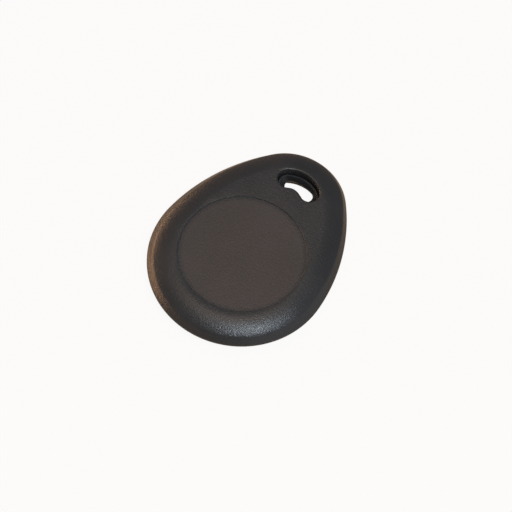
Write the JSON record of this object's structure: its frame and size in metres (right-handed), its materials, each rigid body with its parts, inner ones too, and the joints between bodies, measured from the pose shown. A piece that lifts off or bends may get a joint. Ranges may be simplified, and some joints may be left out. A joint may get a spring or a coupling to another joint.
{
  "type": "rfid key fob tag",
  "caption": "Teardrop contactless key tag: two domed shells with a round recess and a bean-shaped ring slot, sealed over a ring winding and a chip carrier.",
  "frame": {"origin": "point of the flat back face under the centre of the round recess", "axes": "+Z out of the front face, +Y along the long axis from the recess towards the key-ring slot"},
  "size_m": [0.0318, 0.0399, 0.0052],
  "materials": {
    "front_plastic": "satin",
    "back_plastic": "satin",
    "coil_wire": "gloss",
    "carrier_board": "satin",
    "pad_copper": "satin",
    "chip_epoxy": "gloss",
    "solder": "satin",
    "glue": "gloss"
  },
  "bodies": {
    "root": {"front_shell": "front_plastic", "back_shell": "back_plastic", "antenna_coil": "coil_wire", "carrier_adhesive": "glue", "chip_carrier": "carrier_board", "chip_glob_top": "chip_epoxy", "contact_pad_start": "pad_copper", "contact_pad_finish": "pad_copper", "coil_lead_start": "coil_wire", "coil_lead_finish": "coil_wire", "solder_joint_start": "solder", "solder_joint_finish": "solder", "coil_adhesive_1": "glue", "coil_adhesive_2": "glue", "coil_adhesive_3": "glue"}
  },
  "joints": []
}
